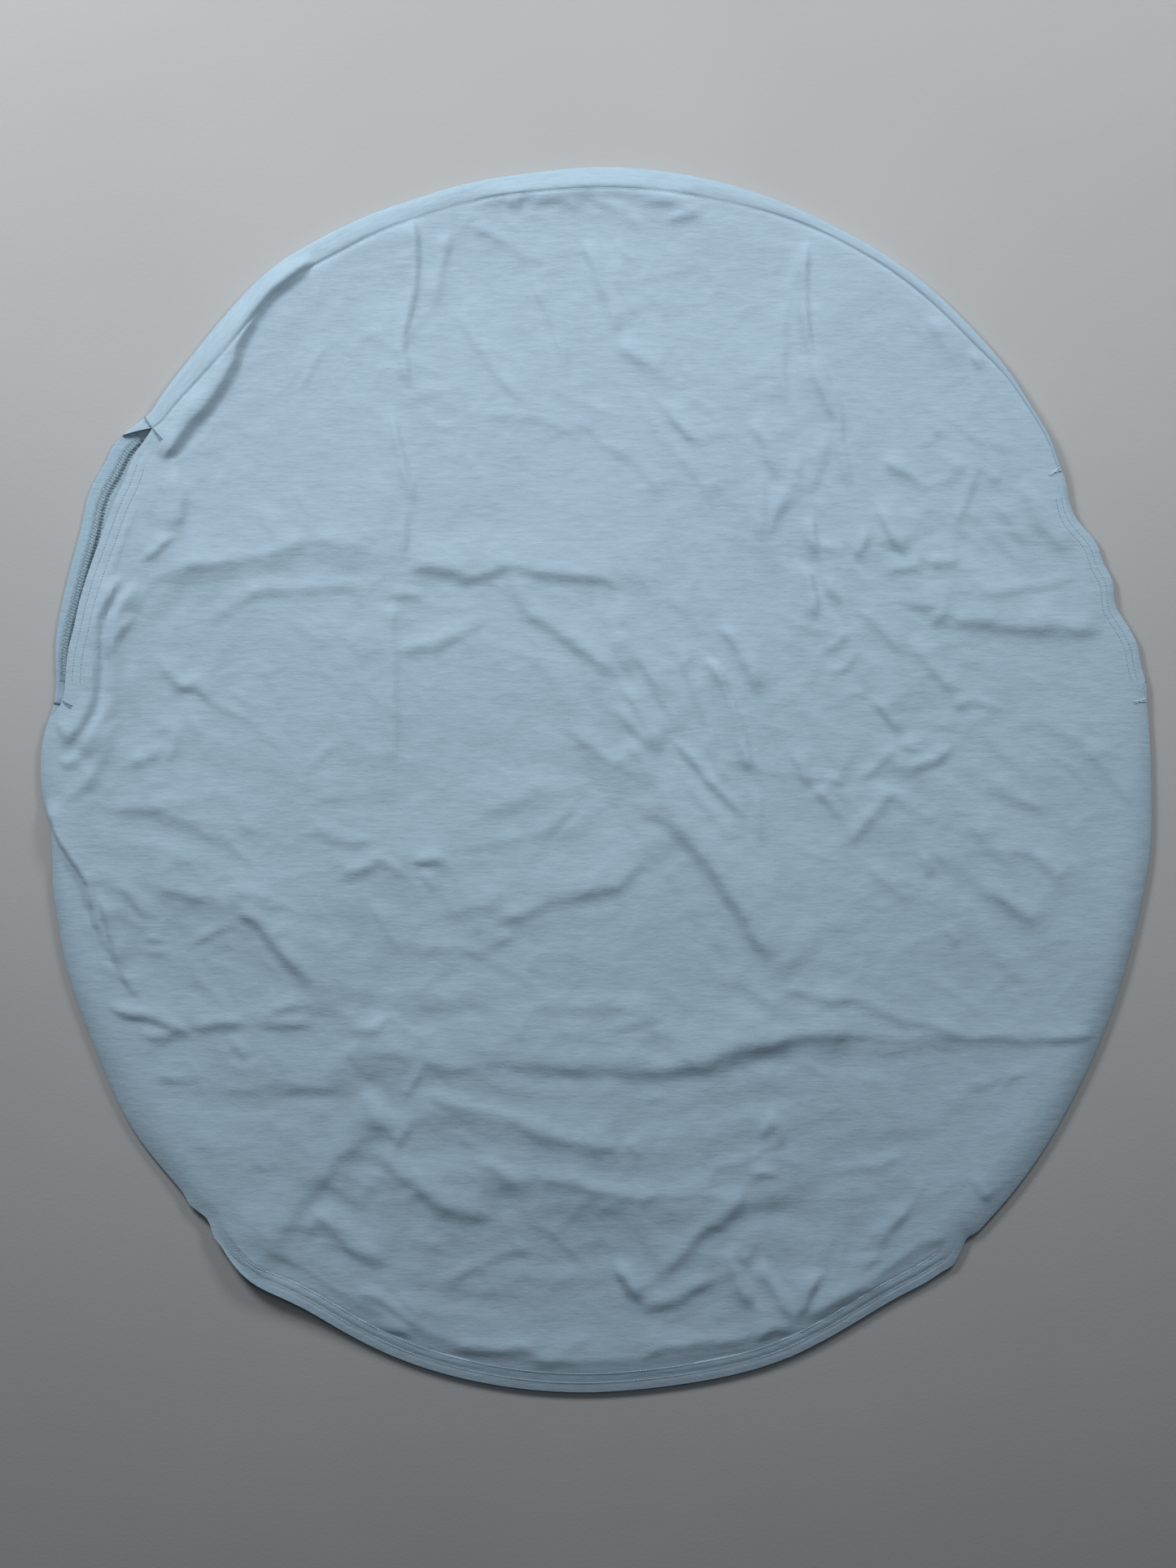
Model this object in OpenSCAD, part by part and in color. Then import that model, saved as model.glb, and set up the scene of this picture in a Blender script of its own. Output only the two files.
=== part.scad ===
// Collapsible backdrop panel: a two-layer jersey cover, lying flat, over a sprung steel hoop.
// The panel lies on z = 0 in the XY plane, with its rim casing towards +Y and its open hem towards -Y.
// A real cover and hoop are whole: here they are cut in two along the Y axis, where the panel bends.

/* [Panel] */
// Width of the cover, from slot to slot
panel_w = 762; // [700:1:820]
// Length of the cover, from rim to hem
panel_l = 840; // [780:1:900]
// Thickness of one layer of jersey
jersey_t = 0.9; // [0.7:0.1:1]

/* [Hoop] */
// Distance from the cover's edge to the middle of the hoop's band, at the rim
hoop_inset = 13; // [12.5:0.1:13.5]
// Width of the band, which stands on edge
band_h = 5; // [4:0.5:6]
// Thickness of the band
band_t = 1; // [0.8:0.1:1.2]
// Length of the sleeve that joins the band's two ends
sleeve_l = 36; // [30:1:40]
// Diameter of the sleeve's two rivets
rivet_d = 1.4; // [1.2:0.1:1.6]

/* [Rim, hems and seams] */
// Width of the rim casing
rim_w = 15; // [14:0.5:16]
// Depth of the turned hems
hem_w = 14; // [12:0.5:14]
// Distance from a hem's edge to its outer row of stitches
first_row = 6.5; // [5:0.5:7]
// Distance between a hem's two rows of stitches
needle_gap = 6.4; // [4.8:0.1:6.4]
// Width of the seam allowance inside the side seams
allowance_w = 5; // [4:0.5:5]

/* [Slots] */
// Width of the front lips at the ends of a slot
lip_w = 10; // [9:0.5:11]
// How far the left slot's back lip shows past its front lip
slot_gape = 11; // [9:0.5:13]
// Length of the bar tacks across the ends of a slot
tack_l = 14; // [10:1:15]

/* [Hidden] */

// Stretches of the edge, in degrees round from +X
right_slot = [8.5, 33.5];
rim = [33.5, 142.5];
left_slot = [142.5, 172.5];
left_seam = [173.5, 231];
bottom_hem = [232, 306];
right_seam = [307, 367.5];
step = 3;                   // degrees from one point of an outline to the next

// Where the cover's edge leaves a plain ellipse: [direction, spread in degrees, height]
edge_pulls = [
    [22, 7, -8], [31, 5, -11],                  // drawn in along the right slot
    [122, 8, 7],                                // shoulder over the left slot
    [146, 3.5, 8], [151, 8, 5], [171, 4, -7],   // the left slot's gaping back lip
    [187, 5, -6],                               // fold in the cloth under the left slot
    [235, 4.5, 9], [250, 12, 3.5],              // left corner of the hem
    [305, 4, 5], [313, 10, 3]                   // right corner of the hem
];
// Where the hoop lies further in than it does at the rim: along the slots and the hem
hoop_bends = [[28, 20, 8], [153, 20, 11], [270, 50, 10]];
// The band's two ends meet on a straight stretch beside the left slot; both directions are multiples of step
joint_arc = [150, 165];
// The left slot gapes from this many degrees before it, and fully after this many more
gape_lead = 8;
gape_run = 14;

// Heights of the layers, from the floor up
gap = 0.1;                                      // between layers that lie on each other
hem_t = 0.6;                                    // a turned allowance, pressed flat
thread_t = 0.3;
sleeve_wall = 0.4;
band_z = jersey_t + hem_t + 2*gap;
front_z = band_z + band_h + sleeve_wall + 3*gap;
front_top = front_z + jersey_t;
lip_t = jersey_t + hem_t;
row_w = 2*thread_t;                             // width of a row of stitches
fold_z = front_z + lip_t + thread_t + 2*gap;    // the fold line, above every layer
fold_gap = 0.4;                                 // between the two halves at the fold line
cut = 1200;                                     // longer than the panel
reach = 60;                                     // from a slot's hinge line to past the edge
through = 20;                                   // longer than the hoop's joint is thick

// Places of small things, in millimetres in from the edge or in degrees along it
fold_w = 1;             // the fold at a hem's or a seam's edge
rim_row = rim_w + 1;    // the rim's row of stitches
lip_row = 2;            // the first row of stitches on a front lip
overlock_inset = 4;
tack_w = 2;
tack_past = [-1.2, 0.6];    // from a slot's ends to its bar tacks
// What these stop short of a slot's ends
lip_trim = 1.5;
row_trim = 5;
back_trim = 1;
overlock_trim = 2;

function sum(v) = v * [for (x = v) 1];
function bump(a, list) = sum([for (b = list) b[2] * exp(-pow(((a + 360) % 360 - b[0]) / b[1], 2))]);
function oval(a) = let (p = panel_w/2, q = panel_l/2) p*q / norm([q*cos(a), p*sin(a)]);
function from_centre(a, inset) = (oval(a) + bump(a, edge_pulls) - inset) * [cos(a), sin(a)];

// The middle of the outline's box goes to the origin
outline = [for (a = [0 : 359]) from_centre(a, 0)];
xs = [for (p = outline) p.x];
ys = [for (p = outline) p.y];
middle = [max(xs) + min(xs), max(ys) + min(ys)] / 2;

function edge(a, inset = 0) = from_centre(a, inset) - middle;
function hoop(a, offset = 0) =
    (oval(a) - hoop_inset - bump(a, hoop_bends) + offset) * [cos(a), sin(a)] - middle;
// Evenly spaced angles along an arc, with both of its ends
function sweep(arc) =
    let (n = ceil((arc[1] - arc[0]) / step)) [for (i = [0 : n]) arc[0] + (arc[1] - arc[0])*i/n];
function reversed(v) = [for (i = [len(v) - 1 : -1 : 0]) v[i]];

// Part of an arc, cut short at both ends
function trimmed(arc, trim) = [arc[0] + trim, arc[1] - trim];
// The left slot's front lip lies inside its back lip by up to slot_gape; the right slot is shut
function gape(slot, a) = slot == left_slot ? slot_gape * min(1, (a - slot[0] + gape_lead) / gape_run) : 0;
// A lip turns up on the straight line between its two ends
function hinge_line(slot, inset) = [edge(slot[0] + 1, inset), edge(slot[1] - 1, inset)];
left_hinge = hinge_line(left_slot, slot_gape + lip_w);
right_hinge = hinge_line(right_slot, lip_w);

joint_ends = [hoop(joint_arc[1]), hoop(joint_arc[0])];
joint_run = joint_ends[1] - joint_ends[0];
joint_at = (joint_ends[0] + joint_ends[1]) / 2;
joint_angle = atan2(joint_run.y, joint_run.x);
rivet_x = sleeve_l / 4;

outside = "lightsteelblue";
inside = "powderblue";
thread = "cadetblue";

// Keeps what lies on one side of the fold line: 1 is right and -1 is left
module half(side) {
    intersection() {
        children();
        translate([side*(cut + fold_gap)/2, 0, 0]) cube([cut, cut, 4*fold_z], center = true);
    }
}

// A flat strip that follows the edge between two insets
module strip(arc, outer, inner, z, t) {
    angles = sweep(arc);
    translate([0, 0, z]) linear_extrude(t)
        polygon(concat([for (a = angles) edge(a, outer)], reversed([for (a = angles) edge(a, inner)])));
}

// Two rows of stitches, a needle gap apart
module twin_rows(arc, outer, z) {
    for (row = [outer, outer + needle_gap]) strip(arc, row, row + row_w, z, thread_t);
}

// The flat shape between a slot's hinge line and the outside, with a margin behind the line
module past_hinge(ends, margin) {
    along = (ends[1] - ends[0]) / norm(ends[1] - ends[0]);
    out = [along.y, -along.x];
    near = -margin * out;
    far = reach * out;
    polygon([ends[0] + near - margin*along, ends[0] + far - margin*along,
        ends[1] + far + margin*along, ends[1] + near + margin*along]);
}

module outline_without_rim() {
    difference() {
        polygon([for (a = [0 : step : 360 - step]) edge(a)]);
        polygon(concat(
            [for (a = sweep(rim)) edge(a, -reach)],
            reversed([for (a = sweep(rim)) edge(a, rim_w + 2*gap)])));
    }
}

module front_panel(side) {
    color(outside) half(side) translate([0, 0, front_z]) linear_extrude(jersey_t) difference() {
        outline_without_rim();
        past_hinge(side > 0 ? right_hinge : left_hinge, 4*gap);
    }
}

module back_panel(side) {
    color(inside) half(side) linear_extrude(jersey_t) outline_without_rim();
}

// A folded strip that closes the edge and holds the hoop, sewn to both panels along its long sides
module rim_casing(side) {
    color(outside) half(side) {
        strip(rim, 0, rim_w, 0, jersey_t);
        strip(rim, 0, jersey_t, 0, front_top);
        strip(rim, 0, rim_w, front_z, jersey_t);
    }
}

module rim_stitching(side) {
    color(thread) half(side) strip(rim, rim_row, rim_row + row_w, front_top, thread_t);
}

// A hem's turned allowance lies against its layer's inner face
module bottom_hem(side, z) {
    color(inside) half(side) strip(bottom_hem, fold_w, hem_w, z, hem_t);
}

module hem_stitching(side) {
    color(thread) half(side) twin_rows(bottom_hem, first_row, front_top);
}

// The seam's wall joins the two layers, and its allowance lies inside
module side_seam(arc) {
    color(inside) {
        strip(arc, 0, fold_w, jersey_t, front_z - jersey_t);
        strip(arc, fold_w, allowance_w, front_z - gap - 2*hem_t, 2*hem_t);
    }
}

module slot_lip(slot, hinge) {
    color(outside) translate([0, 0, front_z]) linear_extrude(lip_t) intersection() {
        polygon(concat([for (a = sweep(trimmed(slot, lip_trim))) edge(a, gape(slot, a))],
            [edge(slot[1], reach), edge(slot[0], reach)]));
        past_hinge(hinge, 0);
    }
}

module lip_stitching(slot) {
    angles = sweep(trimmed(slot, row_trim));
    color(thread) translate([0, 0, front_z + lip_t]) for (row = [lip_row, lip_row + needle_gap])
        linear_extrude(thread_t) polygon(concat(
            [for (a = angles) edge(a, row + gape(slot, a))],
            reversed([for (a = angles) edge(a, row + row_w + gape(slot, a))])));
}

module slot_back_hem(slot) {
    color(inside) strip(trimmed(slot, back_trim), fold_w, hem_w, jersey_t + gap, hem_t);
}

// A band of looped thread over the raw edge of the back lip's hem
module left_slot_overlock() {
    color(thread) strip(trimmed(left_slot, overlock_trim), overlock_inset, overlock_inset + needle_gap,
        jersey_t + gap + hem_t, 2*thread_t);
}

module bar_tacks(slot) {
    color(thread) for (a = slot + tack_past)
        translate(concat(edge(a, tack_l/2 + fold_w), front_top)) rotate(a)
            translate([-tack_l/2, -tack_w/2, 0]) cube([tack_l, tack_w, 2*thread_t]);
}

// The rivets' holes, or with a smaller d their shanks, through the sleeve at the joint
module at_rivets() {
    translate(concat(joint_at, band_z + band_h/2)) rotate(joint_angle)
        for (x = [-rivet_x, rivet_x]) translate([x, 0, 0]) rotate([90, 0, 0]) children();
}

// The band runs once round, and its two ends meet at the middle of the sleeve
module hoop_band(side) {
    angles = [for (a = [0 : step : 360 - step]) if (a <= joint_arc[0] || a >= joint_arc[1]) a];
    color("silver") half(side) difference() {
        translate([0, 0, band_z]) linear_extrude(band_h) difference() {
            polygon([for (a = angles) hoop(a, band_t/2)]);
            polygon([for (a = angles) hoop(a, -band_t/2)]);
            translate(joint_at) rotate(joint_angle) square([4*gap, through], center = true);
        }
        at_rivets() cylinder(h = through, d = rivet_d + 2*gap, center = true, $fn = 32);
    }
}

module hoop_sleeve() {
    hollow_t = band_t + 2*gap;
    color("dimgray") difference() {
        translate(concat(joint_at, band_z + band_h/2)) rotate(joint_angle) difference() {
            cube([sleeve_l, hollow_t + 2*sleeve_wall, band_h + 2*gap + 2*sleeve_wall], center = true);
            cube([sleeve_l + 1, hollow_t, band_h + 2*gap], center = true);
        }
        at_rivets() cylinder(h = through, d = rivet_d + 2*gap, center = true, $fn = 32);
    }
}

module sleeve_rivets() {
    grip = band_t + 2*gap + 2*sleeve_wall;
    color("gray") at_rivets() {
        cylinder(h = grip, d = rivet_d, center = true, $fn = 32);
        for (end = [-1, 1]) translate([0, 0, end*(grip/2 + sleeve_wall/2)])
            cylinder(h = sleeve_wall, d = 2*rivet_d, center = true, $fn = 32);
    }
}

front_panel(1);  // front_panel_right
front_panel(-1);  // front_panel_left
back_panel(1);  // back_panel_right
back_panel(-1);  // back_panel_left
rim_casing(1);  // rim_casing_right
rim_casing(-1);  // rim_casing_left
rim_stitching(1);  // rim_stitching_right
rim_stitching(-1);  // rim_stitching_left
bottom_hem(1, front_z - gap - hem_t);  // bottom_hem_front_right
bottom_hem(-1, front_z - gap - hem_t);  // bottom_hem_front_left
bottom_hem(1, jersey_t + gap);  // bottom_hem_back_right
bottom_hem(-1, jersey_t + gap);  // bottom_hem_back_left
hem_stitching(1);  // hem_stitching_right
hem_stitching(-1);  // hem_stitching_left
side_seam(right_seam);  // side_seam_right
side_seam(left_seam);  // side_seam_left
slot_lip(right_slot, right_hinge);  // right_slot_lip
slot_lip(left_slot, left_hinge);  // left_slot_lip
lip_stitching(right_slot);  // right_slot_stitching
lip_stitching(left_slot);  // left_slot_stitching
slot_back_hem(right_slot);  // right_slot_back_hem
slot_back_hem(left_slot);  // left_slot_back_hem
left_slot_overlock();
bar_tacks(right_slot);  // right_slot_bar_tacks
bar_tacks(left_slot);  // left_slot_bar_tacks
hoop_band(1);  // hoop_band_right
hoop_band(-1);  // hoop_band_left
hoop_sleeve();
sleeve_rivets();
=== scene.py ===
"""The looks of a collapsible backdrop panel: a two-layer jersey cover that lies flat over a sprung hoop.

Lengths are in millimetres in the tables below, and in metres everywhere else. Angles round the panel are in
degrees from +X. An inset is the distance from the cover's edge towards its middle.
"""

import math

import bpy
import numpy as np
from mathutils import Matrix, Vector
from mathutils.bvhtree import BVHTree


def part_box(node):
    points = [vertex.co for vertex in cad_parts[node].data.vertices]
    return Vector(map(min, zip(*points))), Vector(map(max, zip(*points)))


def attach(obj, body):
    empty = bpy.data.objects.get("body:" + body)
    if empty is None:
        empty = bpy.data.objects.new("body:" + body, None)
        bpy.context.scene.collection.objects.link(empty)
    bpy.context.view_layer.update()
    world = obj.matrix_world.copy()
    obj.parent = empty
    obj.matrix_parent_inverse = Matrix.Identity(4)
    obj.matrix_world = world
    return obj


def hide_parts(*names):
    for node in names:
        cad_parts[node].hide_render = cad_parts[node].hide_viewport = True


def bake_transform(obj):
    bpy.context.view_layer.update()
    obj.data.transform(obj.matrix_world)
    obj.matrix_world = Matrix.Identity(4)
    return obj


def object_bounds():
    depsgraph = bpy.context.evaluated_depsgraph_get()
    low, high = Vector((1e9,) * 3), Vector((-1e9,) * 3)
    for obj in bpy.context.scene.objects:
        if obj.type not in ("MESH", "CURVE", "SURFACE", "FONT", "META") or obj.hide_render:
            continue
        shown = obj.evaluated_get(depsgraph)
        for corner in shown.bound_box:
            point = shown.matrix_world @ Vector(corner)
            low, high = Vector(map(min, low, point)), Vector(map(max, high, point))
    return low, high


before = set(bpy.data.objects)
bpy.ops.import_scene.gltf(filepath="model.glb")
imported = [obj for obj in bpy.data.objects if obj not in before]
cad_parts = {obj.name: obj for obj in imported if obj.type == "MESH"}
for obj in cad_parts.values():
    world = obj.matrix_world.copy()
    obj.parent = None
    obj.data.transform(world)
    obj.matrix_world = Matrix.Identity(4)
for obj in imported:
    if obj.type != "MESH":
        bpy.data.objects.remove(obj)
cad_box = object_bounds()

MM = 0.001
HALF_W = round((cad_box[1].x - cad_box[0].x) / 2, 3)
HALF_L = round((cad_box[1].y - cad_box[0].y) / 2, 3)
BAND_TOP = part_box("hoop_band_right")[1].z

# Stretches of the edge, as in the CAD model
RIGHT_SLOT = (8.5, 33.5)
RIM = (33.5, 142.5)
LEFT_SLOT = (142.5, 172.5)
LEFT_SEAM = (173.5, 231)
BOTTOM_HEM = (232, 306)
RIGHT_SEAM = (307, 367.5)
# Where the casing's stitches show
RIM_SEAM = (48, 141)

HEM_W = 14
STITCH = 2.0
# The share of a stitch that shows between two needle holes
STITCH_SHOWS = 0.72
# Insets of the rows of stitches
HEM_ROWS = (6.5, 12.9)
LEFT_ROWS = (4.7, 10.3)
RIGHT_ROWS = (5.5, 9.7)
SLOT_GAPE = 11
LIP_W = 10

# Where the cover's edge leaves a plain ellipse: (direction, spread, height)
EDGE_PULLS = [
    (22, 7, -8), (31, 5, -11),
    (122, 8, 7),
    (146, 3.5, 8), (151, 8, 5), (171, 4, -7),
    (187, 5, -6),
    (235, 4.5, 9), (250, 12, 3.5),
    (305, 4, 5), (313, 10, 3),
]
# Smaller ones that only the cloth has
CLOTH_PULLS = [
    (146.9, 1.8, -2.5), (150.8, 2.4, 3), (140.5, 1.5, -1.5),
    (9.7, 1.5, 1.6), (13.9, 1.8, 1.8), (18.2, 1.6, -2.4), (21.2, 1.6, 2.4), (25, 1.5, 1.8),
    (28.7, 1.8, -2.2), (32.5, 1.5, 1.8), (40, 4, -2.5), (57, 6, 1.5),
    (96, 5, -1.5), (112, 4, 1.5), (185, 2, -1.2), (195, 3, -1.8), (217, 6, 3.5), (232, 4, 1),
    (226.3, 0.9, 1.8), (228.6, 0.9, -1.8), (230.2, 0.7, 1.2), (275, 6, -1), (288, 6, 2), (306.4, 0.9, 2),
    (309, 0.8, -3), (320, 8, 1), (333, 12, 1.2), (352, 5, 1.8),
]
HOOP_INSET = 13
HOOP_BENDS = [(28, 20, 8), (153, 20, 11), (270, 50, 10)]
HOOP_JOINT = (150, 165)
# How far the lower left corner stands off the floor
CORNER_LIFT = [(236, 8, 6.3)]


def bumps(angle, rows):
    """The summed height, in millimetres, of the bumps in rows at each angle."""
    turn = np.asarray(angle, float) % 360
    return sum(h * np.exp(-(((turn - at) / spread) ** 2)) for at, spread, h in rows)


def oval(angle):
    """The radius of the plain ellipse that the cover fills."""
    a = np.radians(angle)
    return HALF_W * HALF_L / np.hypot(HALF_L * np.cos(a), HALF_W * np.sin(a))


def edge_radius(angle):
    """The radius of the cover's edge."""
    return oval(angle) + (bumps(angle, EDGE_PULLS) + bumps(angle, CLOTH_PULLS)) * MM


def hoop_radius(angle):
    """The hoop's middle, which runs straight where its two ends meet."""
    def bent(turn):
        return oval(turn) - (HOOP_INSET + bumps(turn, HOOP_BENDS)) * MM

    turn = np.asarray(angle, float) % 360
    a, b = HOOP_JOINT
    before = np.radians(np.clip(turn, a, b) - a)
    after = np.radians(b - np.clip(turn, a, b))
    straight = bent(a) * bent(b) * math.sin(math.radians(b - a))
    straight = straight / (bent(a) * np.sin(before) + bent(b) * np.sin(after))
    return np.where((turn > a) & (turn < b), straight, bent(turn))


def at_angle(angle, radius):
    """Points from directions and radii."""
    a = np.radians(angle)
    return np.stack([radius * np.cos(a), radius * np.sin(a)], -1)


def edge_points(angle, inset=0.0):
    """Points on the cover, inset millimetres in from its edge."""
    return at_angle(angle, edge_radius(angle) - np.asarray(inset) * MM)


def seen_from_middle(xy):
    """The direction of each point, and its inset from the cover's edge in mm."""
    angle = np.degrees(np.arctan2(xy[:, 1], xy[:, 0]))
    return angle, (edge_radius(angle) - np.hypot(xy[:, 0], xy[:, 1])) / MM


def smooth(t):
    """0 up to t = 0 and 1 from t = 1, with a smooth rise between them."""
    t = np.clip(t, 0, 1)
    return t * t * (3 - 2 * t)


def within(angle, arc, soft):
    """1 inside an arc and 0 outside it, with soft ends soft degrees wide."""
    turn = (np.asarray(angle, float) - arc[0] + 90) % 360 - 90
    return smooth(turn / soft + 0.5) * smooth((arc[1] - arc[0] - turn) / soft + 0.5)


def run_along(points):
    """How far each point is from the first, along them all."""
    return np.concatenate([[0], np.cumsum(np.linalg.norm(np.diff(points, axis=0), axis=1))])


def shortened(arc, first, last):
    """An arc without its first and last few degrees."""
    return arc[0] + first, arc[1] - last


def arc_angles(arc, spacing):
    """Angles along an arc whose points at the edge lie about spacing metres apart."""
    fine = np.linspace(arc[0], arc[1], 800)
    run = run_along(edge_points(fine))
    return np.interp(np.linspace(0, run[-1], int(run[-1] / spacing) + 2), run, fine)


def read_off(angle, rows):
    """A value read off rows of (angle, value), with smooth turns between them."""
    at, value = np.array(rows, float).T
    slope = np.gradient(value, at)
    turn = np.clip(np.asarray(angle, float), at[0], at[-1])
    k = np.clip(np.searchsorted(at, turn) - 1, 0, len(at) - 2)
    step = at[k + 1] - at[k]
    t = (turn - at[k]) / step
    return (value[k] * (1 + 2 * t) * (1 - t) ** 2 + slope[k] * step * t * (1 - t) ** 2
            + value[k + 1] * t**2 * (3 - 2 * t) - slope[k + 1] * step * t**2 * (1 - t))


# How far inside the back lip's edge the left slot's front lip lies: (direction, mm)
LIP_GAPE = [
    (141.5, 10), (144, 15), (147, 17.8), (150.5, 19), (154, 15.8), (158, 13.4), (161, 12.3), (164, 12),
    (166.7, 9.6), (169.5, 7.2), (171.2, 6.4), (172.2, 5), (173.6, 0),
]
# How wide the casing is: (direction, mm)
CASING_W = [
    (33, 2.5), (44, 4), (48, 6.5), (55, 7.5), (63, 7.5), (70, 9), (75, 11.5), (82, 14), (91, 15), (98, 13.6),
    (108, 13.4), (116, 14.8), (123, 15), (129, 17), (134, 15), (138, 12.5), (141.5, 10.3), (144, 10),
]
# How far inside the edge the looper band starts: (direction, mm)
LOOPER_INSET = [(142, 6.2), (156, 6), (163, 4.4), (167, 2.6), (170, 2.2)]


def at_edge(angle):
    """The start of what begins at the edge itself."""
    return 0 * angle


def lip_inset(angle):
    """How far in the left slot's front lip starts."""
    return read_off(angle, LIP_GAPE)


def rim_width(angle):
    """The casing is wide on the left, and narrows where its seam runs out on the right."""
    return read_off(angle, CASING_W)


# ---- The lie of the front layer ----

CREASE_DEPTH = 1.05
HIGHEST_CREST = 6.5
# The least width of a crease, in mm, and how far from its ends it fades, in metres
FINEST_CREASE = 3.3
END_FADE = 0.017
# Heights in mm: the front layer's edge, the casing's extra, flat on the back layer, and the least
EDGE_HEIGHT = 3.1
RIM_EXTRA = 3.2
FLAT_HEIGHT = 3.4
LEAST_HEIGHT = 1.7

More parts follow.
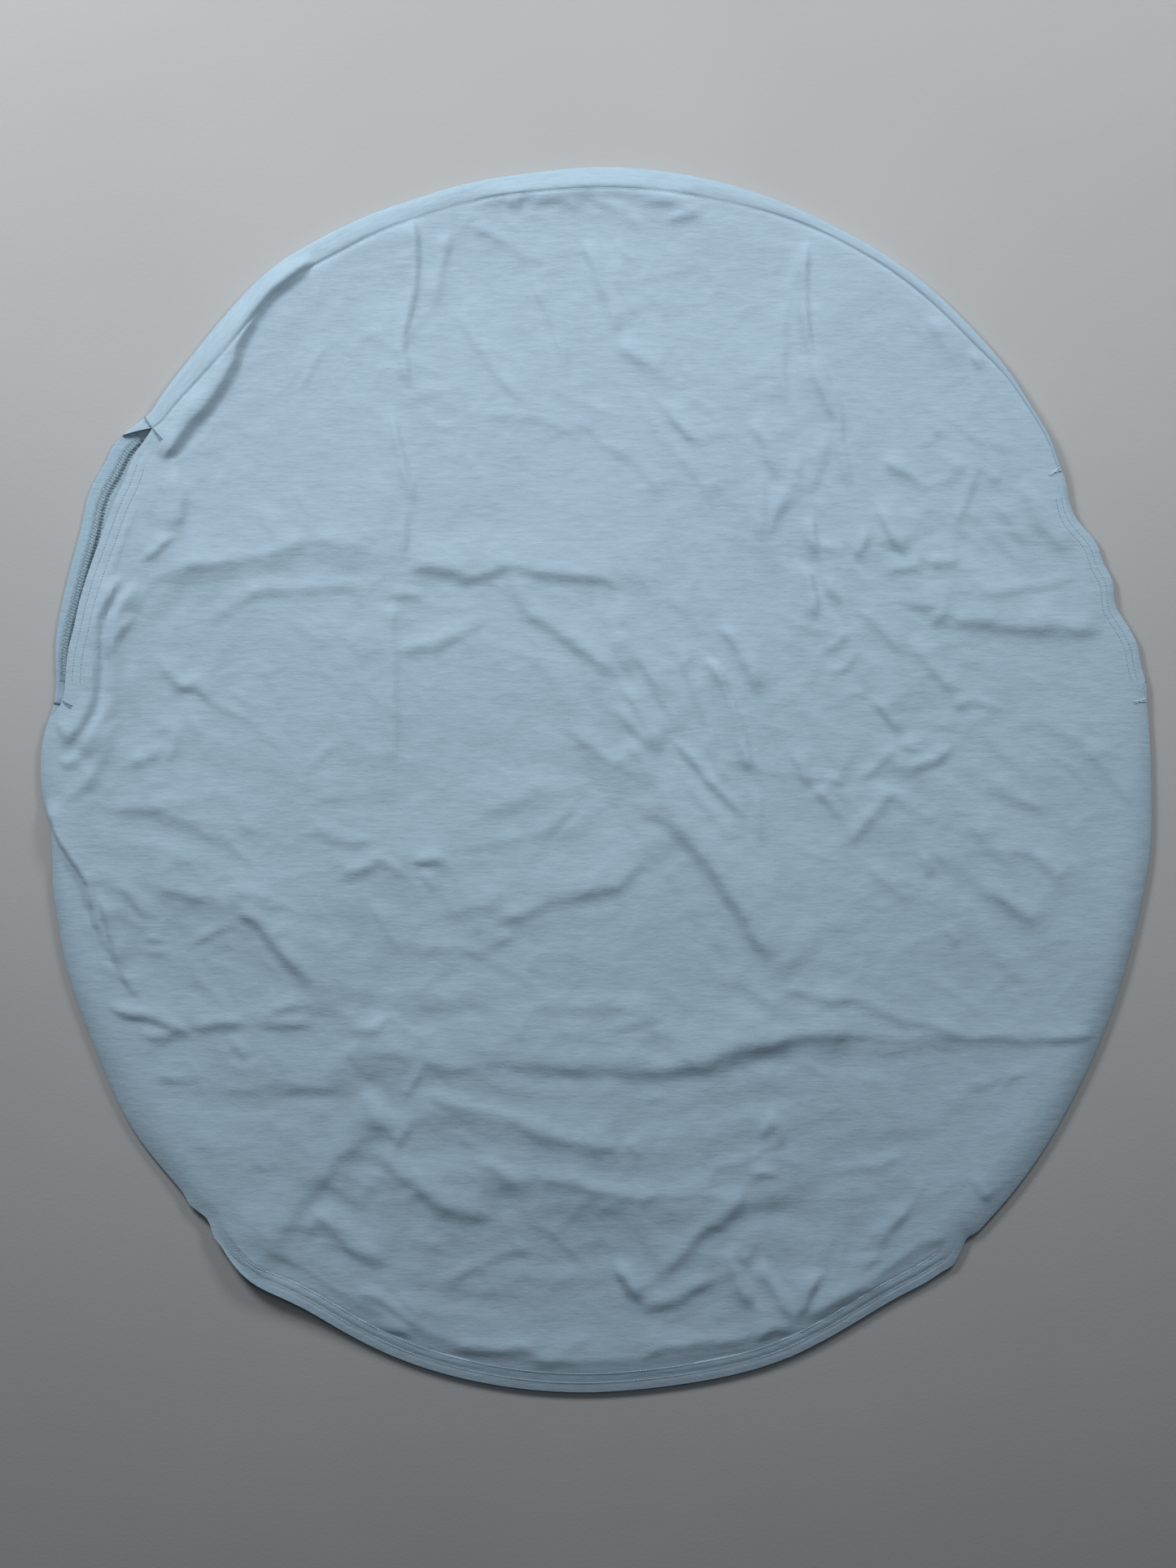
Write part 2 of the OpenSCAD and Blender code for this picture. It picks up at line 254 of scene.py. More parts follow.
# Creases, each along its dark side with its crest on the left: (height, width, x,y, x,y, ...)
CREASE_ROWS = [
    # broad folds
    (2.6, 20, -190,-200, -60,-196, 40,-200, 75,-197, 110,-183, 180,-178),
    (3.4, 18, 4,20, 80,-60, 108,-105, 134,-140), (3.4, 22, -246,-350, -168,-255, -135,-228),
    (2, 17, -300,135, -200,152, -130,142, -60,144, 40,130), (1.8, 18, 200,142, 250,112, 350,100),
    (2.2, 22, -310,-70, -262,-84, -232,-100, -190,-142, -150,-160),
    (1.8, 20, -90,-110, -50,-92, 0,-78, 40,-50, 70,-20), (2, 20, -160,-250, -95,-235, 20,-262, 90,-250),
    (1.8, 18, -120,-300, -46,-280, 30,-300, 92,-296, 160,-270),
    (1.6, 24, 165,400, 150,330, 152,270, 170,200, 182,120, 200,40), (1.4, 22, -140,-20, -128,260, -125,390),
    # the folds it was stored in, in thirds both ways
    (3.3, 4, -125,268, -130,290, -128,320, -122,350, -125,388),
    (2.9, 3, -122,185, -125,200, -130,215, -140,262), (3, 3, -126,146, -130,162, -130,190),
    (2.1, 3, -138,5, -137,45, -137,125), (3.9, 4, 165,245, 158,265, 152,288, 146,302, 144,330, 145,372),
    (2.7, 4, 175,198, 170,225, 168,250, 153,298), (1.9, 4, 132,255, 130,280, 131,330),
    (2.2, 6, -130,142, -105,143, -85,137, -60,144, -30,140, 18,136),
    (1.7, 6, -287,143, -230,152, -200,160, -170,160, -152,152),
    (3, 10, -120,-195, -90,-198, -60,-196, -20,-199, 40,-200, 75,-197, 110,-183, 140,-178),
    (2, 7, 110,-182, 145,-177, 200,-178, 345,-178),
    (1.8, 10, -130,-157, -95,-155, -60,-160, 0,-158, 45,-161),
    # beside the left slot
    (8.8, 7, -294,216, -284,233, -254,275, -233,317, -221,333, -190,356),
    (2.8, 8, -285,165, -282,190, -285,215), (3.6, 6, -364,18, -345,50, -341,92, -336,120, -322,140),
    (2.9, 6, -312,140, -327,118, -332,92, -336,50, -356,16), (2.5, 4, -336,80, -325,98, -314,112),
    (2, 4, -312,148, -284,168), (1.6, 6, -350,12, -337,25, -322,42), (1.9, 5, -366,-22, -350,-4, -335,15),
    # left edge
    (3.5, 4, -341,-75, -326,-120, -318,-132), (1.5, 4, -332,-70, -318,-82, -305,-98),
    (2.2, 3.5, -333,-110, -321,-140, -312,-151), (1.4, 3.5, -369,42, -364,33, -361,24),
    (1.6, 4, -367,18, -363,9, -356,12, -350,20), (1.1, 5, -360,-16, -345,-3, -325,36),
    (0.9, 4, -251,-176, -240,-194), (1.5, 8, -338,-22, -310,-20, -285,-26, -262,-40, -243,-50),
    (1.4, 6, -302,-73, -282,-80, -262,-84), (1.2, 7, -256,-72, -238,-80, -215,-92),
    (2.9, 6, -250,-92, -232,-100, -215,-118, -190,-142), (1.1, 3.5, -310,-108, -294,-110),
    (1.4, 4, -284,-116, -255,-103, -240,-100), (1, 3.5, -308,-118, -290,-119),
    (2.5, 6, -336,-154, -300,-166, -274,-179), (2.2, 6, -282,-172, -262,-170, -238,-165),
    (1.4, 5, -235,-170, -190,-166), (1.9, 5, -178,-175, -150,-172, -137,-157),
    (1.3, 5, -316,-175, -278,-178), (1.2, 5, -226,-158, -200,-153), (1.6, 7, -322,8, -306,15, -294,27),
    (2, 6, -302,86, -293,72, -284,61, -272,62, -262,50), (1.6, 4, -292,8, -284,42),
    (0.8, 5, -252,60, -236,52),
    # long diagonals in the middle
    (2.8, 8, -62,146, -48,115, -30,102, 18,70), (3, 7, 6,49, 20,40, 45,13), (2.9, 4.5, 14,68, 24,55, 46,14),
    (2.6, 4, 48,30, 84,-6, 103,-30), (1.2, 4, 22,22, 42,-6), (1.3, 5, 58,0, 70,-13, 96,-46),
    (1.3, 4, 14,128, 19,112, 26,99), (1.2, 3.5, 161,6, 163,-1, 168,-7), (1, 4, -5,-18, -18,-32, -30,-43),
    (4.6, 8, 25,-14, 55,-35, 80,-60, 108,-105, 124,-124), (2.3, 5, 22,92, 38,70, 50,45, 56,25),
    (2.3, 5, 62,98, 62,75, 72,48, 80,20, 90,-6), (2.9, 6, 80,105, 92,98, 103,78, 114,54),
    (3.9, 4, 110,4, 94,60, 85,77, 74,87), (1.9, 4, 108,0, 110,-25, 114,-48), (1.2, 7, -22,34, -5,22, 18,8),
    (1.9, 6, 10,102, 24,70), (2.7, 6, -14,368, -4,358, 2,342, 14,302), (1.9, 7, 10,304, 22,290, 52,271),
    (1.7, 5, 6,365, 15,340, 30,312), (2, 5, 42,261, 62,234, 78,229), (1, 5, 70,233, 100,238),
    (1.4, 7, 8,230, 36,205, 48,190), (0.9, 6, -18,246, 0,235), (1.7, 7, 58,222, 70,205, 82,182),
    (2.4, 5, 100,246, 111,234, 120,215, 123,200), (2.1, 4, 115,160, 115,195, 110,216),
    (1.9, 6, 118,158, 126,182, 136,205, 142,228), (2, 5, 150,188, 151,205, 164,242),
    (1.1, 3.5, 24,146, 35,132, 42,120, 52,129),
    # crumpled patch on the right
    (3.5, 4, 152,148, 152,170, 148,188), (1, 4, 136,184, 150,187, 162,179), (1.3, 5, 153,162, 174,149),
    (3.5, 6, 188,194, 208,160, 216,152), (2.6, 4, 178,149, 185,160, 191,172),
    (1.8, 6, 193,222, 205,212, 216,207, 228,198), (1, 6, 234,221, 246,214, 258,211),
    (0.9, 4, 222,226, 231,233, 242,246), (1.7, 4, 245,165, 260,206, 269,216), (1.2, 4, 268,205, 280,205),
    (1.8, 9, 268,190, 284,176, 300,160), (1.8, 9, 284,202, 312,166, 328,152),
    (1.7, 10, 222,318, 234,301, 252,279), (2.1, 3.5, 257,293, 263,279), (2.3, 5, 193,142, 214,145, 229,140),
    (2.3, 5, 228,146, 253,148), (1.5, 5, 209,120, 222,118, 238,120),
    (1.6, 4, 226,104, 240,113, 243,128, 239,141), (2.4, 9, 226,102, 241,109, 270,106, 348,101),
    (1.2, 5, 255,125, 290,129, 328,137), (3.3, 4, 152,108, 151,128, 146,140, 135,149),
    (1.6, 4, 173,120, 162,135, 154,139), (2.6, 6, 176,118, 186,111, 204,91, 214,84),
    (1.6, 4, 150,82, 163,91, 179,104), (1.4, 4, 156,82, 165,74, 174,80, 181,92),
    (1.1, 3.5, 168,54, 180,58, 190,55), (2.4, 5, 186,54, 195,48, 209,28),
    (2.4, 7, 215,98, 224,82, 235,69, 252,57), (1.7, 4, 238,46, 260,52, 282,46), (2.8, 4, 134,20, 146,-9),
    (2.2, 4, 146,-4, 158,-15, 170,-30), (2.2, 6, 171,-50, 195,-20, 206,-4), (1.8, 5, 176,-2, 190,5, 209,23),
    (1.4, 4, 205,22, 215,20, 223,14), (2, 5, 208,-2, 220,7, 236,13, 249,29),
    # right of the middle
    (1.9, 7, 248,-35, 262,-38, 272,-48, 287,-67), (1, 7, 256,-7, 280,-12, 312,-26),
    (1.2, 6, 298,-48, 310,-62, 322,-78), (1.9, 9, 256,-72, 280,-85, 312,-105), (2, 4, 224,-48, 229,-70),
    (1.8, 4, 238,-98, 247,-117), (1.1, 6, 180,-58, 216,-87), (1.2, 6, 328,22, 345,9, 356,-6, 370,-22),
    (1.8, 6, 122,-143, 155,-150, 178,-152, 202,-162, 256,-178), (1.1, 6, 75,-137, 100,-142, 126,-161),
    (1.2, 6, 183,-190, 205,-185, 256,-184), (0.8, 7, 248,-216, 270,-208, 298,-205),
    # left of the middle
    (1.1, 5, -208,108, -195,100, -184,86), (1.5, 7, -268,104, -228,127, -200,128, -180,130, -150,129),
    (1.6, 5, -142,128, -116,121), (1.6, 7, -142,82, -125,88, -110,88, -95,96, -72,111),
    (1.9, 6, -179,-71, -150,-58, -137,-55), (2.5, 5, -128,-56, -98,-58),
    (1, 4, -150,-63, -140,-60, -131,-70), (1.1, 4, -121,-62, -109,-78), (1, 7, -202,-34, -150,-46),
    (1.1, 8, -92,-51, -40,-38), (1.1, 8, -84,-26, -60,-18, -38,-9, -15,-5),
    (1.2, 8, -46,-46, -25,-32, -8,-16), (2.3, 7, -72,-99, -50,-92, -28,-83, 0,-78, 18,-74, 35,-56),
    (1.1, 7, -112,-92, -80,-88, -58,-74), (1.1, 7, -122,-127, -110,-118, -92,-121),
    (1.4, 7, -86,-127, -70,-115, -52,-104), (0.8, 4, -204,2, -190,12, -174,29),
    # below the storage fold
    (2, 4, -132,-224, -114,-190), (1.9, 4, -139,-254, -131,-244, -124,-230),
    (2.3, 8, -118,-214, -95,-225, -55,-235, -38,-244, -15,-251, 18,-254),
    (1.5, 7, -88,-262, -74,-266, -60,-276, -48,-288), (1.9, 7, -46,-270, 5,-284, 50,-287, 92,-284),
    (2.8, 10, -158,-252, -140,-268, -95,-297, -68,-302),
    (1.4, 8, -236,-340, -195,-285, -168,-255, -150,-240),
    (2.4, 9, -198,-297, -180,-310, -164,-325, -142,-336), (1.4, 8, -188,-274, -170,-285, -152,-293),
    (1.2, 7, -130,-312, -115,-320, -96,-323), (1.2, 6, -218,-216, -190,-213, -170,-213),
    (1.6, 6, -172,-178, -166,-195, -152,-208), (0.8, 5, -304,-206, -262,-205),
    (0.9, 5, -116,-346, -80,-335, -60,-325, -38,-322), (1.4, 5, 3,-174, 25,-168, 53,-162),
    (1.5, 4, 19,-247, 30,-260), (1.3, 4, 29,-291, 44,-284),
    (2.6, 8, 38,-342, 58,-329, 75,-312, 94,-296, 104,-276), (1.7, 4, 106,-273, 127,-272),
    (1.6, 6, 88,-321, 107,-334), (3.8, 6, 11,-327, 33,-362), (2.1, 7, 31,-363, 50,-358, 70,-348, 90,-341),
    (3.1, 6, 112,-367, 90,-320), (3.4, 6, 138,-371, 114,-323),
    (2.7, 6, 136,-371, 145,-358, 150,-345, 158,-333), (1.8, 8, 188,-327, 210,-300, 220,-290),
    (2.5, 4, 133,-254, 122,-224), (2, 4, 121,-224, 114,-246), (1.3, 4, 254,-268, 269,-291),
    # pulled up against the bottom hem
    (1.4, 5, -170,-350, -145,-360, -114,-378), (1.8, 5, -152,-374, -122,-383),
    (1.9, 6, -104,-389, -80,-392, -50,-390, -36,-396), (1.2, 5, -50,-400, -5,-402),
    (1.7, 5, 30,-400, 48,-390, 104,-384), (1.8, 5, 107,-387, 120,-378, 140,-380),
    (1.6, 8, 142,-372, 165,-360, 182,-350, 203,-348), (1.2, 5, 222,-318, 243,-316),
    (1, 6, -226,-322, -198,-336),
    # puckers under the rim seam
    (1.3, 5, -90,379, -70,370, -50,358, -33,355), (1.5, 4, -46,347, -25,300, -20,276),
    (1.1, 5, -98,322, -80,295, -48,252), (2, 6, -112,322, -105,345, -100,382),
    (1, 7, -137,265, -124,260, -98,269), (0.9, 6, -88,244, -60,248, -30,243, -6,234),
    (1.4, 5, -97,212, -84,246), (1.2, 4, -203,262, -190,285, -178,303), (1.2, 5, -213,203, -188,168),
    (1.3, 5, -234,188, -218,163), (2.4, 8, -82,390, -62,397, 0,401, 40,398, 75,389),
    (1.4, 5, -62,394, -48,392), (1.4, 5, -46,393, -26,395, -6,389), (1.5, 5, -6,398, 6,392, 24,387),
    (1.3, 6, 24,395, 48,394, 62,390), (1.3, 6, 48,379, 60,385, 78,391),
]
CREASES = [(height, width, np.reshape(xy, (-1, 2))) for height, width, *xy in CREASE_ROWS]
# The front layer is pushed in here, and lies over itself in a step that faces the left edge
STEP = (4.2, 4, [(-378, -12), (-369, -38), (-350, -68), (-346, -82), (-340, -103), (-329, -133)])


def spline(points, per_span=8):
    """A Catmull-Rom curve through points."""
    p = np.asarray(points, float)
    if len(p) == 2:
        return np.linspace(p[0], p[1], per_span)
    p = np.vstack([2 * p[0] - p[1], p, 2 * p[-1] - p[-2]])
    t = np.linspace(0, 1, per_span, endpoint=False)[:, None]
    spans = [
        0.5 * (2 * b + (c - a) * t + (2 * a - 5 * b + 4 * c - d) * t**2 + (3 * b - a - 3 * c + d) * t**3)
        for a, b, c, d in zip(p, p[1:], p[2:], p[3:])
    ]
    return np.vstack([*spans, p[-2:-1]])


def along_curve(xy, curve, reach):
    """The points within reach of a curve: which, how far off on its left, and how far from its two ends."""
    low, high = curve.min(0) - reach, curve.max(0) + reach
    near = np.flatnonzero(np.all((xy > low) & (xy < high), axis=1))
    q = xy[near]
    best = np.full(len(near), np.inf)
    side, run = np.zeros(len(near)), np.zeros(len(near))
    starts = run_along(curve)
    for a, b, length, start in zip(curve, curve[1:], np.diff(starts), starts):
        d = (b - a) / length
        r = q - a
        t = np.clip(r @ d, 0, length)
        off = r - t[:, None] * d
        dist = np.hypot(off[:, 0], off[:, 1])
        closer = dist < best
        best = np.where(closer, dist, best)
        side = np.where(closer, np.where(d[0] * r[:, 1] - d[1] * r[:, 0] > 0, dist, -dist), side)
        run = np.where(closer, start + t, run)
    return near, side, run, starts[-1] - run


def noise(xy, cell, seed, turn=0.0):
    """Smooth noise from -1 to 1 on a lattice of cell metres, turned by turn degrees."""
    table = np.random.default_rng(seed).uniform(-1, 1, (64, 64))
    c, s = math.cos(math.radians(turn)), math.sin(math.radians(turn))
    u = (xy[:, 0] * c + xy[:, 1] * s) / cell + 31.7
    v = (xy[:, 1] * c - xy[:, 0] * s) / cell + 29.3
    i, j = np.floor(u).astype(int), np.floor(v).astype(int)
    fu, fv = u - i, v - j
    fu, fv = fu**3 * (fu * (6 * fu - 15) + 10), fv**3 * (fv * (6 * fv - 15) + 10)
    i, j, i1, j1 = i % 64, j % 64, (i + 1) % 64, (j + 1) % 64
    lower = table[i, j] * (1 - fu) + table[i1, j] * fu
    upper = table[i, j1] * (1 - fu) + table[i1, j1] * fu
    return lower * (1 - fv) + upper * fv


def crease_height(xy, height, width, points):
    """A crease's height in mm: a crest that falls off steeply on its right, and slowly on its left."""
    h = np.zeros(len(xy))
    curve = spline(points) * MM
    near, side, before, after = along_curve(xy, curve, 6 * width * MM)
    reach = np.minimum(END_FADE, 0.35 * (before + after))
    ends = smooth(before / reach) * smooth(after / reach)
    s = side / (width * MM * (0.6 + 0.4 * ends)) - 0.35
    slow = 0.45 * np.exp(-((s / 0.9) ** 2)) + 0.55 * np.exp(-(np.sqrt(s**2 + 0.05) - 0.224) / 2)
    steep = np.exp(-((s / 0.64) ** 2))
    fade = smooth((6 - np.abs(side) / (width * MM)) / 3)
    h[near] = height * np.where(s > 0, slow, steep) * ends * fade
    return h


def fine_creases(count=620):
    """Small creases scattered along the main ones, and running roughly the same way."""
    rng = np.random.default_rng(7)
    made = []
    for _ in range(count):
        _, _, points = CREASES[rng.integers(len(CREASES))]
        line = spline(points)
        k = rng.integers(1, len(line))
        ahead = line[k] - line[k - 1]
        turn = math.atan2(ahead[1], ahead[0]) + rng.normal(0, 0.4)
        middle = line[k] + rng.normal(0, 26, 2)
        reach = rng.uniform(8, 38)
        d = np.array([math.cos(turn), math.sin(turn)])
        bend = np.array([-d[1], d[0]]) * rng.normal(0, 0.12) * reach
        row = [middle - reach * d, middle + bend, middle + reach * d]
        made.append((rng.uniform(0.15, 0.7), rng.uniform(3.5, 5.5), row))
    return made


# Where the cloth ripples one way: (x, y, reach, direction, height, length of a ripple, width of a ripple)
RIPPLES = [
    (-60, -290, 190, -6, 0.9, 70, 13),
    (150, -260, 150, 10, 0.7, 60, 13),
    (-220, -220, 120, 3, 0.6, 80, 12),
    (60, 30, 120, -58, 0.9, 80, 15),
    (260, -60, 110, -38, 0.7, 70, 16),
    (-230, -60, 120, -22, 0.7, 70, 17),
    (-60, 60, 130, -12, 0.6, 80, 18),
    (-30, 300, 120, -60, 0.5, 90, 18),
    (150, 260, 90, 92, 0.7, 90, 14),
    (-120, 300, 90, 96, 0.4, 90, 16),
    (200, 110, 90, -48, 0.8, 40, 12),
    (-300, 100, 70, 60, 0.7, 60, 13),
]


def ripples(xy):
    """The height of the ripples in mm."""
    h = np.zeros(len(xy))
    for k, (x, y, reach, turn, height, length, width) in enumerate(RIPPLES):
        c, s = math.cos(math.radians(turn)), math.sin(math.radians(turn))
        u, v = xy[:, 0] * c + xy[:, 1] * s, xy[:, 1] * c - xy[:, 0] * s
        v = v + 0.5 * width * MM * noise(xy, 0.05, 60 + k)
        wave = noise(np.column_stack([u * width / length, v]), width * MM, 70 + k)
        near = np.exp(-(((xy[:, 0] - x * MM) ** 2 + (xy[:, 1] - y * MM) ** 2) / (reach * MM) ** 2) ** 1.5)
        h += height * near * wave
    return h


def hem_start(angle):
    """The bottom hem is rolled under where it starts, so that its rows lie nearer the edge there."""
    return -5 * (1 - smooth((np.asarray(angle, float) % 360 - 231.5) / 7))


# Rows of stitches press grooves into the front layer: (arc, insets, where they are measured from, depth)
SEWN = [
    (BOTTOM_HEM, HEM_ROWS, hem_start, 0.65),
    (LEFT_SLOT, LEFT_ROWS, lip_inset, 0.22),
    (RIGHT_SLOT, RIGHT_ROWS, at_edge, 0.3),
]


def draped(xy, angle, inset, hoop_inset):
    """The front layer's height in mm before it creases: up over the hoop, and down to the back layer."""
    hem = within(angle, BOTTOM_HEM, 6)
    slots = within(angle, LEFT_SLOT, 6) + within(angle, RIGHT_SLOT, 6)
    foot = EDGE_HEIGHT + bumps(angle, CORNER_LIFT) + 0.5 * slots + RIM_EXTRA * within(angle, RIM, 8)
    top = BAND_TOP / MM + 0.6
    over = np.clip(inset / (hoop_inset - 2), 0, 1)
    rise = foot + (top - foot) * (over * hem + np.sin(over * math.pi / 2) ** 0.8 * (1 - hem))
    rest = FLAT_HEIGHT + 0.7 * noise(xy, 0.11, 3)
    sag = np.exp(-np.maximum(inset - hoop_inset - 1.5, 0) ** 1.2 / (62 + 20 * noise(xy, 0.12, 4)))
    return np.where(inset < hoop_inset + 1.5, rise, rest + (top - rest) * sag)


def crumpled(xy):
    """Soft rumples in mm, that have no crests of their own."""
    crumple = 1 - np.abs(noise(xy, 0.028, 13, 35) + 0.5 * noise(xy, 0.013, 14, 70))
    return (0.9 * noise(xy, 0.075, 11, 20) + 0.4 * noise(xy, 0.034, 12, 50) + ripples(xy)
            + 0.45 * np.clip(crumple, 0, 1) ** 3 + 0.08 * noise(xy, 0.007, 15, 10))


def creased(xy, inset, hoop_inset):
    """The height of all the creases in mm."""
    aside = 1.6 * noise(xy, 0.022, 16) + 0.6 * noise(xy, 0.008, 17)
    ahead = 1.6 * noise(xy, 0.022, 18) + 0.6 * noise(xy, 0.008, 19)
    bent = xy + np.column_stack([aside, ahead]) * MM
    depth = smooth((inset - 2) / 10) * CREASE_DEPTH * (1 + 0.35 * noise(xy, 0.02, 22))
    main = [(height, max(width, FINEST_CREASE), points) for height, width, points in CREASES]
    h = sum(crease_height(bent, *row) for row in main)
    fine = sum(crease_height(bent, *row) for row in fine_creases())
    h = h * depth + smooth((inset - hoop_inset) / 12) * fine
    return HIGHEST_CREST * np.tanh(h / HIGHEST_CREST)


def softly_above(z, least, give):
    """z, but never below least, with a rounded turn give wide where it meets it."""
    return least + 0.5 * (z - least + np.sqrt((z - least) ** 2 + give**2))


def stepped(xy):
    """The height in mm of the step at the left edge."""
    height, width, points = STEP
    h = np.zeros(len(xy))
    near, side, before, after = along_curve(xy, spline(points) * MM, 10 * width * MM)
    over = np.where(side > 0, np.exp(-side / (4 * width * MM)), smooth(1 + side / (0.3 * width * MM)))
    ends = smooth(before / 0.015) * smooth(after / 0.065)
    h[near] = height * over * ends * smooth((0.04 - np.abs(side)) / 0.015)
    return h


def sewn_down(angle, inset):
    """How deep in mm the rows of stitches pull the front layer down."""
    seam = within(angle, (46, 141), 6)
    h = 0.8 * seam * np.exp(-(((inset - rim_width(angle) - 0.3) / 1.2) ** 2))
    for arc, rows, start, depth in SEWN:
        sewn = depth * within(angle, arc, 4)
        for row in rows:
            h += sewn * np.exp(-(((inset - start(angle) - row) / 1.1) ** 2))
        h += 0.7 * sewn * smooth((inset - start(angle) - rows[1] - 1.2) / 2)
    return h


def front_height(xy):
    """The height of the front layer's upper face at each point."""
    angle, inset = seen_from_middle(xy)
    hoop_inset = (edge_radius(angle) - hoop_radius(angle)) / MM

    z = draped(xy, angle, inset, hoop_inset)
    z += smooth((inset - hoop_inset - 2) / 16) * crumpled(xy) + creased(xy, inset, hoop_inset)
    z = softly_above(z, LEAST_HEIGHT, 0.6) + stepped(xy) - sewn_down(angle, inset)

    # the hoop and its sleeve hold it up
    off = np.maximum(np.abs(inset - hoop_inset) - 1.5, 0)
    held = BAND_TOP / MM + 0.45 + 0.7 * within(angle, HOOP_JOINT, 5) - 0.5 * off
    return softly_above(z, held, 0.25) * MM


# ---- Meshes ----

def new_mesh(name, verts, faces, uv=None):
    """A mesh object; uv gives each vertex its place on the flat cloth, in metres."""
    me = bpy.data.meshes.new(name)
    me.from_pydata([tuple(v) for v in verts], [], [tuple(f) for f in faces])
    me.update()
    if uv is not None:
        layer = me.uv_layers.new(name="cloth")
        loops = np.zeros(len(me.loops), np.int32)
        me.loops.foreach_get("vertex_index", loops)
        layer.data.foreach_set("uv", np.asarray(uv, float)[loops].ravel())
    me.shade_smooth()
    ob = bpy.data.objects.new(name, me)
    bpy.context.scene.collection.objects.link(ob)
    return ob


def grid_faces(rows, cols, closed=False):
    """Quads between rows x cols points, with the columns joined round if closed."""
    i, j = np.meshgrid(np.arange(rows - 1), np.arange(cols if closed else cols - 1), indexing="ij")
    k = (j + 1) % cols
    return np.stack([i * cols + j, (i + 1) * cols + j, (i + 1) * cols + k, i * cols + k], -1).reshape(-1, 4)


def disc_points(n, radius_at):
    """An n x n grid of points squeezed into a round outline, with finer cells near its edge."""
    u, v = np.meshgrid(np.linspace(-1, 1, n + 1), np.linspace(-1, 1, n + 1), indexing="ij")
    x, y = u * np.sqrt(1 - v * v / 2), v * np.sqrt(1 - u * u / 2)
    s = np.clip(np.hypot(x, y), 1e-9, 1)
    close = (1 - (1 - s) * (1 - 0.45 * s**14)) / s
    xy = np.stack([x * close * HALF_W, y * close * HALF_L], -1).reshape(-1, 2)
    angle = np.degrees(np.arctan2(xy[:, 1], xy[:, 0]))
    share = np.hypot(xy[:, 0], xy[:, 1]) / oval(angle)
    pull = (radius_at(angle) / oval(angle) - 1) * share**8
    return xy * (1 + pull)[:, None]


def tube(points, radius, sides=6):
    """Vertices and faces of a closed tube along points."""
    p = np.asarray(points, float)
    ahead = np.gradient(p, axis=0)
    ahead /= np.linalg.norm(ahead, axis=1)[:, None] + 1e-12
    up = np.tile([0.0, 0.0, 1.0], (len(p), 1))
    across = np.cross(ahead, up)
    across /= np.linalg.norm(across, axis=1)[:, None] + 1e-12
    up = np.cross(across, ahead)
    turn = np.linspace(0, 2 * math.pi, sides, endpoint=False)
    ring = across[:, None] * np.cos(turn)[None, :, None] + up[:, None] * np.sin(turn)[None, :, None]
    r = np.full(len(p), radius) if np.isscalar(radius) else radius
    verts = (p[:, None] + ring * r[:, None, None]).reshape(-1, 3)
    faces = [list(f) for f in grid_faces(len(p), sides, closed=True)]
    faces.append(list(range(sides))[::-1])
    faces.append([(len(p) - 1) * sides + k for k in range(sides)])
    return verts, faces


def joined(name, parts):
    """One object from several (vertices, faces) pairs."""
    verts, faces, n = [], [], 0
    for v, f in parts:
        verts.append(np.asarray(v))
        faces += [[i + n for i in face] for face in f]
        n += len(v)
    verts = np.vstack(verts)
    return new_mesh(name, verts, faces, uv=verts[:, :2])


# The height of a stitch whose place has no cloth under it
BARE_HEIGHT = 0.004


class Surface:
    """The top of some finished pieces, to lay stitches on."""

    def __init__(self, *objects):
        verts, faces = [], []
        for ob in objects:
            faces += [[i + len(verts) for i in p.vertices] for p in ob.data.polygons]
            verts += [v.co.copy() for v in ob.data.vertices]
        self.tree = BVHTree.FromPolygons(verts, faces)

    def lift(self, xy, above):
        """Points that lie above metres over the surface at xy."""
        out = []
        for x, y in xy:
            hit = self.tree.ray_cast(Vector((x, y, 0.1)), Vector((0, 0, -1)))[0]
            out.append((x, y, (hit.z if hit else BARE_HEIGHT) + above))
        return np.array(out)


# A stitch's height and thickness from end to end, as shares of its thickness
STITCH_RISE = np.array([-0.9, 0.35, 0.6, 0.35, -0.9])
STITCH_TAPER = np.array([0.45, 1, 1.1, 1, 0.45])


def stitch_row(curve, surface, thick=0.22 * MM):
    """A row of stitches that dip into the cloth at their ends."""
    run = run_along(curve)
    pitch = STITCH * MM
    parts = []
    for k in range(int(run[-1] / pitch)):
        t = np.linspace(k * pitch, (k + STITCH_SHOWS) * pitch, len(STITCH_RISE))
        xy = np.stack([np.interp(t, run, curve[:, 0]), np.interp(t, run, curve[:, 1])], -1)
        line = surface.lift(xy, 0)
        line[:, 2] += thick * STITCH_RISE
        parts.append(tube(line, thick * STITCH_TAPER, 5))
    return parts


# ---- Materials ----

def material(name, rough, sheen=0.0, metal=0.0):
    mat = bpy.data.materials.new(name)
    mat.use_nodes = True
    shader = mat.node_tree.nodes["Principled BSDF"]
    shader.inputs["Roughness"].default_value = rough
    shader.inputs["Metallic"].default_value = metal
    shader.inputs["Sheen Weight"].default_value = sheen
    shader.inputs["Sheen Roughness"].default_value = 0.45
    return mat, mat.node_tree, shader


def add(tree, kind, **settings):
    node = tree.nodes.new(kind)
    for key, value in settings.items():
        setattr(node, key, value)
    return node


def math_node(tree, operation, a, b=None):
    node = add(tree, "ShaderNodeMath", operation=operation)
    for k, value in enumerate(x for x in (a, b) if x is not None):
        if isinstance(value, (int, float)):
            node.inputs[k].default_value = value
        else:
            tree.links.new(value, node.inputs[k])
    return node.outputs[0]


def weighted(tree, *parts):
    """The sum of (value, weight) pairs."""
    total = None
    for value, weight in parts:
        part = math_node(tree, "MULTIPLY", value, weight)
        total = part if total is None else math_node(tree, "ADD", total, part)
    return total


